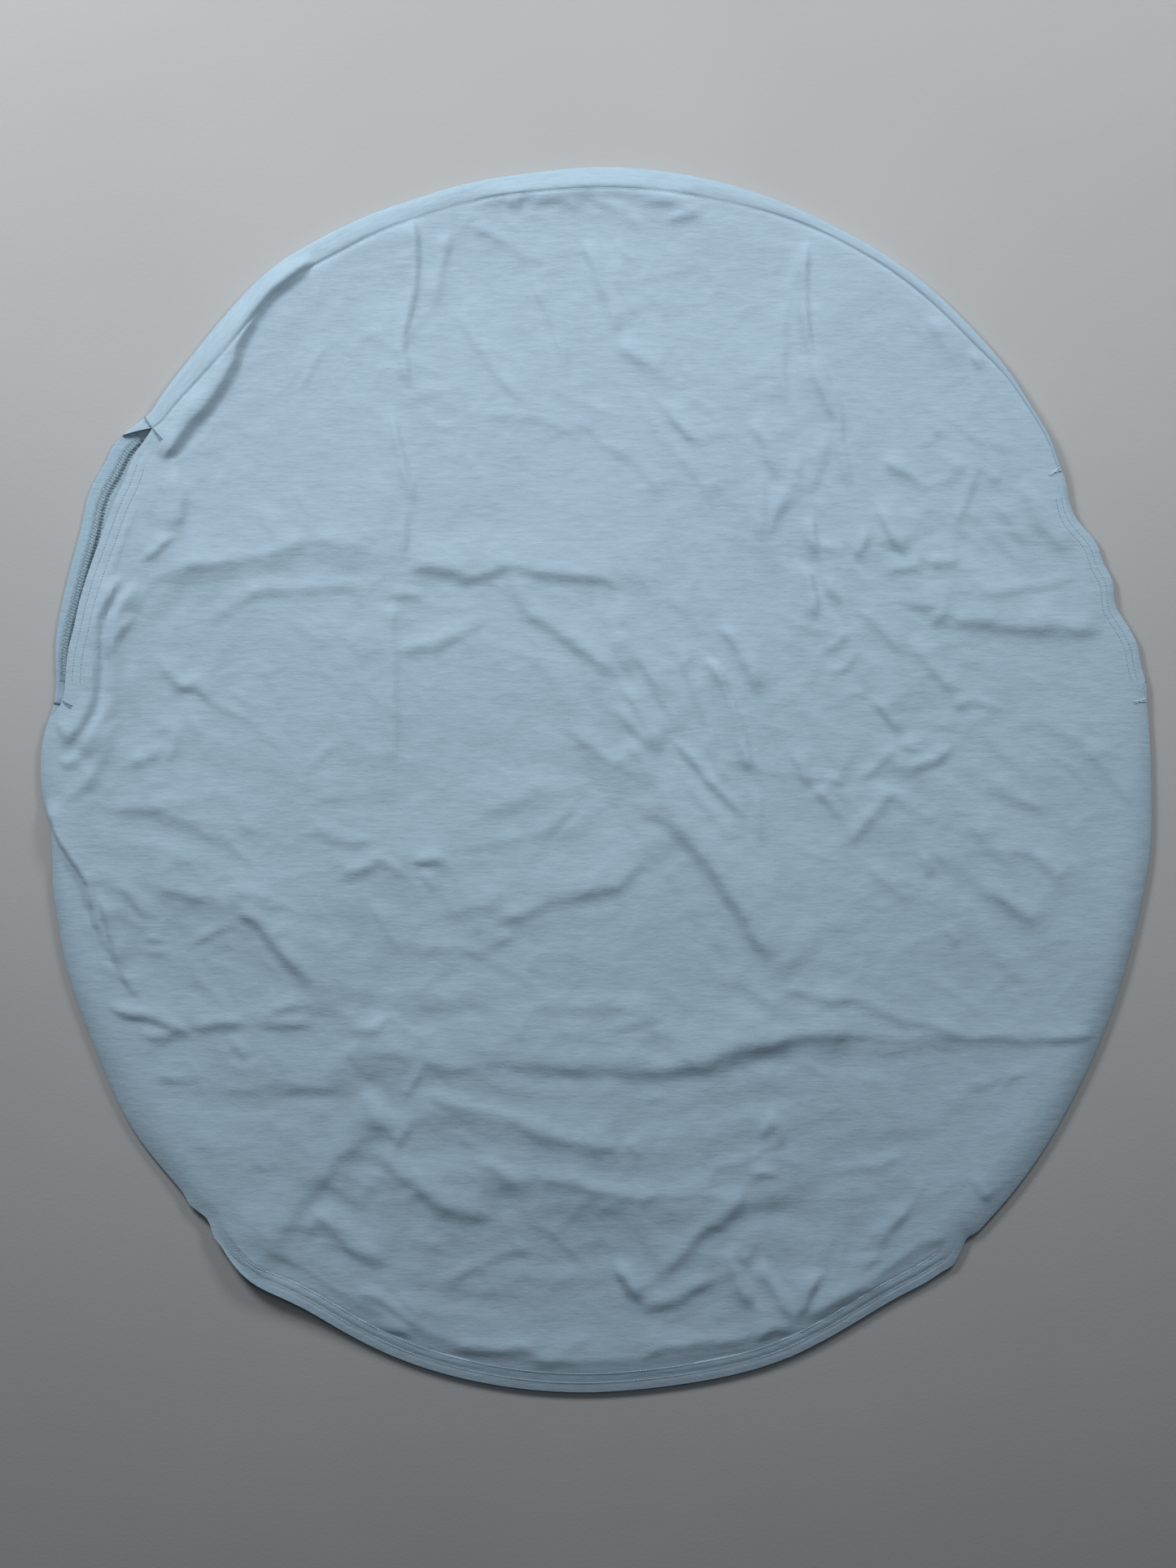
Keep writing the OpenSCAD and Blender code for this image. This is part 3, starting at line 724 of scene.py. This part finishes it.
def add_bump(tree, shader, height, strength, distance):
    """Bumps from a height; distance is in millimetres."""
    bump = add(tree, "ShaderNodeBump")
    bump.inputs["Strength"].default_value = strength
    bump.inputs["Distance"].default_value = distance * MM
    tree.links.new(height, bump.inputs["Height"])
    tree.links.new(bump.outputs[0], shader.inputs["Normal"])


def noise_node(tree, vector, scale, detail=3.0, stretch=(1, 1, 1), rough=0.55):
    """Noise whose features are 1/scale metres across, stretched along the cloth's own directions."""
    place = add(tree, "ShaderNodeMapping")
    place.inputs["Scale"].default_value = stretch
    tree.links.new(vector, place.inputs["Vector"])
    node = add(tree, "ShaderNodeTexNoise")
    node.inputs["Scale"].default_value = scale
    node.inputs["Detail"].default_value = detail
    node.inputs["Roughness"].default_value = rough
    tree.links.new(place.outputs[0], node.inputs["Vector"])
    return node.outputs["Fac"]


def paint(tree, shader, fac, stops):
    """The base colour, which follows a value through (value, colour) stops."""
    node = add(tree, "ShaderNodeValToRGB")
    elements = node.color_ramp.elements
    while len(elements) < len(stops):
        elements.new(0.5)
    for element, (at, colour) in zip(elements, stops):
        element.position = at
        element.color = (*colour, 1)
    tree.links.new(fac, node.inputs[0])
    tree.links.new(node.outputs[0], shader.inputs["Base Color"])


def shade(colour, k):
    """A colour made k times as light."""
    return tuple(c * k for c in colour)


JERSEY = (0.362, 0.497, 0.605)
JERSEY_INSIDE = (0.32, 0.455, 0.57)
THREAD = (0.25, 0.36, 0.45)
HEM_THREAD = (0.46, 0.59, 0.69)
TACK_THREAD = (0.2, 0.3, 0.385)
LOOPER_THREAD = (0.36, 0.5, 0.6)
# The width of a wale and the height of a course of the knit
WALE = 0.85
COURSE = 0.75


def knit_height(tree, uv, purl):
    """The relief of the stitches: wales along the cloth, and courses across it."""
    split = add(tree, "ShaderNodeSeparateXYZ")
    tree.links.new(uv, split.inputs[0])
    wale = math_node(tree, "DIVIDE", split.outputs[0], WALE * MM)
    course = math_node(tree, "DIVIDE", split.outputs[1], COURSE * MM)
    across = math_node(tree, "ABSOLUTE", math_node(tree, "SUBTRACT", math_node(tree, "FRACT", wale), 0.5))
    slant = math_node(tree, "MULTIPLY", across, 0.5 if purl else 1.6)
    turn = math_node(tree, "MULTIPLY", math_node(tree, "ADD", course, slant), 2 * math.pi)
    leg = math_node(tree, "SINE", turn)
    rib = math_node(tree, "COSINE", math_node(tree, "MULTIPLY", across, 2 * math.pi))
    return weighted(tree, (leg, 0.5), (rib, -0.3))


def jersey(name, colour, purl=False):
    """Fine single jersey: knitted ribs along the cloth, slubs across it, fibre fuzz, and a mottled dye."""
    mat, tree, shader = material(name, 0.93, sheen=0.18)
    uv = add(tree, "ShaderNodeUVMap", uv_map="cloth").outputs[0]
    knit = knit_height(tree, uv, purl)
    slub = noise_node(tree, uv, 1.0, 2.5, (110, 800, 1))
    long_slub = noise_node(tree, uv, 1.0, 3.0, (45, 380, 1))
    fuzz = noise_node(tree, uv, 1300, 2.0)
    mottle = noise_node(tree, uv, 9, 3.0)
    crumple = noise_node(tree, uv, 1.0, 4.0, (70, 130, 1), 0.6)
    height = weighted(tree, (knit, 0.35), (slub, 1.1), (fuzz, 0.8), (crumple, 4.5))
    add_bump(tree, shader, height, 0.55, 0.22)

    tone = weighted(tree, (slub, 0.4), (long_slub, 0.45), (mottle, 0.15))
    paint(tree, shader, tone, [(0.36, shade(colour, 0.9)), (0.5, colour), (0.64, shade(colour, 1.07))])
    return mat


def thread(name, colour):
    """Spun thread: two plies twisted round each other, slightly shinier than the cloth."""
    mat, tree, shader = material(name, 0.75, sheen=0.15)
    place = add(tree, "ShaderNodeTexCoord").outputs["Object"]
    twist = noise_node(tree, place, 2600, 2.0)
    add_bump(tree, shader, twist, 0.5, 0.1)
    paint(tree, shader, twist, [(0.35, shade(colour, 0.85)), (0.65, shade(colour, 1.12))])
    return mat


def steel(name, colour, rough, blued=0.0):
    """Rolled strip: fine scratches along it, and a little temper colour."""
    mat, tree, shader = material(name, rough, metal=1.0)
    place = add(tree, "ShaderNodeTexCoord").outputs["Object"]
    scratch = noise_node(tree, place, 90, 4.0, (1, 1, 40))
    patch = noise_node(tree, place, 25, 3.0)
    paint(tree, shader, patch, [(0.3, colour), (0.7, shade(colour, 0.85 - 0.2 * blued))])
    scratched = math_node(tree, "ADD", math_node(tree, "MULTIPLY", scratch, 0.25), rough - 0.1)
    tree.links.new(scratched, shader.inputs["Roughness"])
    return mat


def floor_material():
    """Plain pale paint with a fine grain."""
    mat, tree, shader = material("floor_paint", 0.6)
    place = add(tree, "ShaderNodeTexCoord").outputs["Object"]
    tone = noise_node(tree, place, 3, 3.0)
    grain = noise_node(tree, place, 420, 2.0)
    paint(tree, shader, tone, [(0.3, (0.385, 0.40, 0.41)), (0.7, (0.415, 0.43, 0.44))])
    add_bump(tree, shader, grain, 0.25, 0.4)
    return mat


# ---- The pieces ----

def plain_edge(angle, inset):
    """A point inset millimetres in from the edge, without the cloth's own small pulls."""
    return at_angle(angle, oval(angle) + bumps(angle, EDGE_PULLS) * MM - inset * MM)


def hinge_line(slot, inset):
    """The two ends of the straight line that a slot's lip turns on."""
    return plain_edge(slot[0] + 1, inset), plain_edge(slot[1] - 1, inset)


def hinge_directions(a, b):
    """Unit vectors along a hinge line, and out of it towards the edge."""
    along = (b - a) / np.linalg.norm(b - a)
    return along, np.array([along[1], -along[0]])


HINGES = {"left": hinge_line(LEFT_SLOT, SLOT_GAPE + LIP_W), "right": hinge_line(RIGHT_SLOT, LIP_W)}


# The directions where the casing covers the front layer's edge, and how far it reaches under the casing
CASED = (35, 141.4)
UNDER_CASING = 2.5


def front_radius(angle):
    """The front layer reaches under the casing, to the left slot's front lip, and elsewhere to the edge."""
    turn = np.asarray(angle, float) % 360
    under_rim = (rim_width(turn) - UNDER_CASING) * within(turn, CASED, 1.2)
    lip = lip_inset(turn) * within(turn, (CASED[1], 180), 1.2) * (turn < 174)
    return edge_radius(turn) - (under_rim + lip) * MM


FRONT_GRID = 308
BACK_GRID = 170


def beyond_hinge(verts, faces, ends):
    """Which faces lie beyond a slot's hinge line."""
    a, b = ends
    along, out = hinge_directions(a, b)
    centre = verts[faces].mean(1)[:, :2]
    t = (centre - a) @ along / np.linalg.norm(b - a)
    return ((centre - a) @ out > 0) & (t > 0) & (t < 1)


def used(verts, faces):
    """Only the vertices that faces use, with the faces renumbered."""
    keep, back = np.unique(faces, return_inverse=True)
    return verts[keep], back.reshape(faces.shape)


def make_front():
    """The front layer as one grid, cut into the sheet and the two slots' lips."""
    xy = disc_points(FRONT_GRID, front_radius)
    verts = np.column_stack([xy, front_height(xy)])
    faces = grid_faces(FRONT_GRID + 1, FRONT_GRID + 1)
    left = beyond_hinge(verts, faces, HINGES["left"])
    right = beyond_hinge(verts, faces, HINGES["right"])
    parts = (("front_sheet", ~(left | right)), ("left_front_lip", left), ("right_front_lip", right))
    pieces = []
    for name, chosen in parts:
        v, f = used(verts, faces[chosen])
        pieces.append(new_mesh(name, v, f[:, ::-1], uv=v[:, :2]))
    return pieces


def back_height(xy):
    """The height of the back layer, which lies on the floor and is drawn up to the seams at its edge."""
    angle, inset = seen_from_middle(xy)
    ripple = 0.35 * noise(xy, 0.06, 31) + 0.2 * noise(xy, 0.025, 32, 40)
    slots = within(angle, LEFT_SLOT, 5) + within(angle, RIGHT_SLOT, 5)
    hem = within(angle, BOTTOM_HEM, 4)
    seams = (1 - slots) * (1 - within(angle, RIM, 4))
    lift = (2.0 - 1.7 * hem + bumps(angle, CORNER_LIFT)) * seams + 0.5 * slots
    ripple = np.clip(ripple + 0.15, 0, 0.5) * smooth(inset / 8)
    return (0.45 + ripple + lift * (1 - smooth(inset / 13))) * MM


def make_back():
    """The whole back layer as one grid."""
    xy = disc_points(BACK_GRID, edge_radius)
    verts = np.column_stack([xy, back_height(xy)])
    return new_mesh("back_sheet", verts, grid_faces(BACK_GRID + 1, BACK_GRID + 1), uv=xy)


# The casing's section: (share of its width in from the edge, share of the height there)
CASING_SECTION = [
    (1.02, 0.1), (0.9, 0.05), (0.5, 0.04), (0.2, 0.06), (0.06, 0.2), (0.0, 0.45), (0.0, 0.65), (0.05, 0.9),
    (0.12, 0.97), (0.25, 1), (0.4, 1), (0.55, 1), (0.7, 1), (0.82, 1), (0.92, 1), (1, 1),
]
STRIP_SPACING = 1.9 * MM


def make_rim():
    """The casing: from its seam under the cover, round the edge, to its seam on the front layer."""
    plain = arc_angles(RIM, STRIP_SPACING)
    rings = []
    for share, part in CASING_SECTION:
        # its end is folded over the top of the left slot, and cut straight across
        angles = plain + (1.5 - 2.6 * share) * smooth((plain - 136) / 6.5)
        xy = edge_points(angles, share * rim_width(angles))
        inside = edge_points(angles, np.maximum(share, 0.12) * rim_width(angles))
        puffed = 0.7 * math.sin(math.pi * min(share, 1)) ** 0.7
        sewn = 0.15 * (share > 0.99)
        level = front_height(inside) + (puffed - sewn) * MM
        rings.append(np.column_stack([xy, level * part + 0.1 * MM]))
    verts = np.stack(rings, 1)
    run, girth = run_along(verts[:, 5]), run_along(verts[len(verts) // 2])
    uv = np.stack(np.meshgrid(run, girth, indexing="ij"), -1).reshape(-1, 2)
    return new_mesh("rim_casing", verts.reshape(-1, 3), grid_faces(len(plain), len(rings)), uv=uv)


def strip_loop(name, angles, rings):
    """A strip with a closed cross-section; rings are (inset, height) arrays along the angles."""
    verts = np.stack([np.column_stack([edge_points(angles, inset), z]) for inset, z in rings], 1)
    n, m = verts.shape[:2]
    faces = [list(f) for f in grid_faces(n, m, closed=True)]
    faces.append(list(range(m)))
    faces.append([(n - 1) * m + k for k in range(m)][::-1])
    flat = verts.reshape(-1, 3)
    return new_mesh(name, flat, faces, uv=flat[:, :2])


def make_hem(name, arc, width, start=at_edge):
    """A turned hem under the front layer's edge: a thin strip with a rounded outer edge."""
    angles = arc_angles(arc, STRIP_SPACING)
    begins = start(angles)
    # (inset, how far below the front layer)
    section = [
        (width, 0.15), (width * 0.6, 0.15), (1.5, 0.1), (0.3, -0.05), (-0.25, 0.35), (-0.25, 0.75),
        (0.3, 1.15), (1.5, 1.3), (width * 0.6, 1.25), (width + 0.4, 0.9),
    ]
    rings = []
    for inset, drop in section:
        place = edge_points(angles, begins + max(inset, 0.4))
        rings.append((begins + inset, front_height(place) - (drop + 0.1) * MM))
    return strip_loop(name, angles, rings)


def make_back_hem(name, arc, width):
    """A turned hem on top of the back layer's edge."""
    angles = arc_angles(arc, STRIP_SPACING)
    # (inset, how far above the back layer)
    section = [
        (width, 0.15), (1.5, 0.2), (0.2, 0.1), (-0.2, 0.35), (0.2, 0.8), (1.5, 0.95), (width * 0.6, 0.95),
        (width, 0.8),
    ]
    rings = []
    for inset, up in section:
        place = edge_points(angles, max(inset, 0.3))
        rings.append((np.full(len(angles), float(inset)), back_height(place) + up * MM))
    return strip_loop(name, angles, rings)


# The side seam allowance's section: (inset, height)
ALLOWANCE_SECTION = [(5, 2.1), (2.5, 2.4), (0.8, 2.6), (0.5, 2.7), (0.8, 2.8), (2.5, 2.95), (5, 2.8)]


def make_allowance(name, arc):
    """The side seam's allowance, inside the cover."""
    angles = arc_angles(arc, 2.4 * MM)
    level = np.ones(len(angles))
    return strip_loop(name, angles, [(inset * level, z * MM * level) for inset, z in ALLOWANCE_SECTION])


def edge_curve(arc, inset):
    """Points along an arc, as far in as inset says for each angle."""
    angles = arc_angles(arc, 1.5 * MM)
    return edge_points(angles, inset(angles))


def evened(line):
    """A line whose heights are averages over seven points."""
    heights = np.pad(line[:, 2], 3, mode="edge")
    return np.column_stack([line[:, :2], np.convolve(heights, np.ones(7) / 7, "valid")])


TACK_W = 2.2 * MM
# A tack's long stitches: (skew, side, thickness in mm)
TACK_BARS = [(0.9, 0.1, 0.42), (-0.9, -0.1, 0.42), (0.25, 0.5, 0.3)]


def bar_tack(surface, at, turn, length):
    """A few long stitches one over another, bound by a slack zigzag."""
    c, s = math.cos(math.radians(turn)), math.sin(math.radians(turn))

    def place(u, v):
        return np.stack([at[0] + u * c - v * s, at[1] + u * s + v * c], -1)

    parts = []
    for skew, side, thick in TACK_BARS:
        u = np.linspace(-length / 2, length / 2, 26)
        v = TACK_W * (skew * u / length + side * 0.5)
        parts.append(tube(evened(surface.lift(place(u, v), 0.25 * MM)), thick * MM, 6))
    n = int(length / (1.1 * MM))
    zig = place(np.linspace(-length / 2, length / 2, n), np.where(np.arange(n) % 2, 0.42, -0.42) * TACK_W)
    fine = np.linspace(0, n - 1, 5 * n)
    zig = np.column_stack([np.interp(fine, np.arange(n), zig[:, k]) for k in (0, 1)])
    parts.append(tube(evened(surface.lift(zig, 0.55 * MM)), 0.17 * MM, 5))
    return parts


LOOPER_STEP = 0.25
LOOPER_W = 7
# How the looper's threads run: (phase, swing, middle of the swing), as shares of the band's width
LOOPER_THREADS = [(0.0, 0.5, 0.5), (2.1, 0.5, 0.5), (4.2, 0.36, 0.5), (1.0, 0.16, 0.16), (3.0, 0.16, 0.84)]


def looper_band(arc, surface):
    """The coverstitch's looper threads: loops that cross from row to row, close together."""
    angles = arc_angles(arc, LOOPER_STEP * MM)
    inset = read_off(angles, LOOPER_INSET)
    steps = np.arange(len(angles)) * LOOPER_STEP
    parts = []
    for phase, swing, middle in LOOPER_THREADS:
        turn = steps * 2 * math.pi / (1.05 * STITCH) + phase
        offset = inset + LOOPER_W * (middle + swing * np.sin(turn) * (1 - 0.25 * np.sin(3 * turn)))
        weave = 0.28 * np.cos(2 * turn + phase) + 0.35
        line = surface.lift(edge_points(angles + 0.05 * np.cos(turn), offset), 0.1 * MM)
        line[:, 2] += weave * MM
        parts.append(tube(line, 0.2 * MM, 4))
    return parts


front, left_lip, right_lip = make_front()
back = make_back()
rim = make_rim()
cloth_top = Surface(front, left_lip, right_lip)

# The hems: (arc, width, start)
FRONT_HEMS = {
    "bottom_hem_front": (BOTTOM_HEM, HEM_W),
    "left_lip_hem": (shortened(LEFT_SLOT, 1.5, 0.5), 11, lip_inset),
    "right_lip_hem": (shortened(RIGHT_SLOT, 1.5, 1.5), 9),
}
BACK_HEMS = {
    "bottom_hem_back": (BOTTOM_HEM, HEM_W),
    "left_back_hem": (shortened(LEFT_SLOT, 0.5, 0.5), 12),
    "right_back_hem": (shortened(RIGHT_SLOT, 0.5, 0.5), 12),
}
hems = {name: make_hem(name, *row) for name, row in FRONT_HEMS.items()}
hems.update({name: make_back_hem(name, *row) for name, row in BACK_HEMS.items()})
left_allowance = make_allowance("side_seam_allowance_left", LEFT_SEAM)
right_allowance = make_allowance("side_seam_allowance_right", RIGHT_SEAM)


def rows_of_stitches(arc, rows, start, thick=0.22 * MM):
    """Rows of stitches on the front layer, each row millimetres in from start."""
    curves = [edge_curve(arc, lambda angle, row=row: start(angle) + row) for row in rows]
    return [stitch for curve in curves for stitch in stitch_row(curve, cloth_top, thick)]


hem_stitches = joined("hem_stitches", rows_of_stitches(BOTTOM_HEM, HEM_ROWS, hem_start, 0.33 * MM))
left_stitches = joined(
    "left_slot_stitches", rows_of_stitches(shortened(LEFT_SLOT, 3, 3), LEFT_ROWS, lip_inset))
right_stitches = joined(
    "right_slot_stitches", rows_of_stitches(shortened(RIGHT_SLOT, 2, 2), RIGHT_ROWS, at_edge))
rim_seam = edge_curve(RIM_SEAM, lambda angle: rim_width(angle) + 0.4)
rim_stitches = joined("rim_stitches", stitch_row(rim_seam, Surface(front, rim), 0.16 * MM))
looper = joined(
    "left_slot_looper_band", looper_band(shortened(LEFT_SLOT, 1, 3), Surface(hems["left_back_hem"], back)))

# Bar tacks: (where its middle is, direction, length)
LEFT_TACKS = [((-0.3030, 0.2400), -52, 20 * MM), ((-0.3640, 0.0532), -32, 13 * MM)]
RIGHT_TACKS = [(edge_points(33.8, 5.5), 30, 9 * MM), (edge_points(8.2, 5.5), 10, 9 * MM)]
tack_top = Surface(front, left_lip, right_lip, rim, hems["left_lip_hem"], back)
left_tacks = joined("left_slot_tacks", [part for row in LEFT_TACKS for part in bar_tack(tack_top, *row)])
right_tacks = joined("right_slot_tacks", [part for row in RIGHT_TACKS for part in bar_tack(tack_top, *row)])

# ---- Finishes ----

turned_hems = [hems[name] for name in FRONT_HEMS]
inner_hems = [hems[name] for name in BACK_HEMS]
# (the pieces, their material, its slot)
FINISH = [
    ((front, left_lip, right_lip, rim, back, *turned_hems), jersey("jersey_outside", JERSEY), "jersey"),
    ((*inner_hems, left_allowance, right_allowance),
     jersey("jersey_purl_side", JERSEY_INSIDE, purl=True), "jersey_inside"),
    ((left_stitches, right_stitches, rim_stitches), thread("thread", THREAD), "thread"),
    ((hem_stitches, right_tacks), thread("hem_thread", HEM_THREAD), "thread"),
    ((looper,), thread("looper_thread", LOOPER_THREAD), "thread"),
    ((left_tacks,), thread("tack_thread", TACK_THREAD), "thread"),
]
for objects, mat, slot in FINISH:
    for ob in objects:
        ob.data.materials.append(mat)

band_steel = steel("spring_steel", (0.42, 0.43, 0.45), 0.34, 1.0)
STEEL_PARTS = {
    "hoop_band_left": band_steel,
    "hoop_band_right": band_steel,
    "hoop_sleeve": steel("pressed_steel", (0.55, 0.55, 0.56), 0.4),
    "sleeve_rivets": steel("rivet_steel", (0.6, 0.6, 0.6), 0.35),
}
for node, mat in STEEL_PARTS.items():
    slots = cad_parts[node].data.materials
    slots.clear()
    slots.append(mat)

# ---- How each piece moves ----

whole = {
    front: ("front_panel_left", "front_panel_right"),
    back: ("back_panel_left", "back_panel_right"),
    rim: ("rim_casing_left", "rim_casing_right"),
    hems["bottom_hem_front"]: ("bottom_hem_front_left", "bottom_hem_front_right"),
    hems["bottom_hem_back"]: ("bottom_hem_back_left", "bottom_hem_back_right"),
    hem_stitches: ("hem_stitching_left", "hem_stitching_right"),
    rim_stitches: ("rim_stitching_left", "rim_stitching_right"),
}
for ob, nodes in whole.items():
    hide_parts(*nodes)
    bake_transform(ob)

riding = [
    (left_allowance, "left_half", "side_seam_left"), (right_allowance, "right_half", "side_seam_right"),
    (hems["left_back_hem"], "left_half", "left_slot_back_hem"), (looper, "left_half", "left_slot_overlock"),
    (hems["right_back_hem"], "right_half", "right_slot_back_hem"),
    (left_tacks, "left_half", "left_slot_bar_tacks"), (right_tacks, "right_half", "right_slot_bar_tacks"),
]
for ob, body, node in riding:
    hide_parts(node)
    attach(ob, body)

lips = [
    ("left", "left_half", (left_lip, hems["left_lip_hem"]), left_stitches),
    ("right", "right_half", (right_lip, hems["right_lip_hem"]), right_stitches),
]
for side, body, cloths, stitches in lips:
    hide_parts(f"{side}_slot_lip")
    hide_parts(f"{side}_slot_stitching")
    for ob in (*cloths, stitches):
        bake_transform(ob)

# ---- Floor, light and camera ----

FLOOR_REACH = 12
corners = [(FLOOR_REACH * x, FLOOR_REACH * y, 0) for x, y in ((-1, -1), (1, -1), (1, 1), (-1, 1))]
floor = new_mesh("floor", corners, [(0, 1, 2, 3)])
floor.location.z = -0.2 * MM
floor.data.materials.append(floor_material())


def area_light(name, at, aim, size, watts, spread=180):
    data = bpy.data.lights.new(name, "AREA")
    data.spread = math.radians(spread)
    data.shape = "RECTANGLE"
    data.size, data.size_y = size
    data.energy = watts
    ob = bpy.data.objects.new(name, data)
    ob.location = at
    ob.rotation_euler = (Vector(aim) - Vector(at)).to_track_quat("-Z", "Y").to_euler()
    bpy.context.scene.collection.objects.link(ob)


area_light("softbox_left", (-0.9, 1.1, 0.9), (-0.05, 0.3, 0), (0.5, 0.4), 16.8)
area_light("softbox_right", (0.85, 1.1, 0.9), (0.05, 0.3, 0), (0.5, 0.4), 10.8)
area_light("top_light", (0, 0.25, 1.4), (0, 0.2, 0), (0.5, 0.5), 0.5, 60)
area_light("ceiling", (0, 1.4, 2.0), (0, 0.7, 0), (2.2, 1.2), 2.3)

world = bpy.data.worlds.new("world")
bpy.context.scene.world = world
world.use_nodes = True
sky = world.node_tree.nodes["Background"]
sky.inputs["Color"].default_value = (0.68, 0.86, 1.0, 1)
sky.inputs["Strength"].default_value = 0.06
bpy.context.scene.view_settings.view_transform = "Standard"

CAMERA_HEIGHT = 2.4
# How much of the floor the picture takes in from top to bottom
FRAME_HEIGHT = 1.076
SENSOR = 36
camera = bpy.data.objects.new("camera", bpy.data.cameras.new("camera"))
camera.data.sensor_fit = "VERTICAL"
camera.data.sensor_height = SENSOR
camera.data.lens = SENSOR * CAMERA_HEIGHT / FRAME_HEIGHT
camera.location = (-0.005, -0.003, CAMERA_HEIGHT)
bpy.context.scene.collection.objects.link(camera)
bpy.context.scene.camera = camera
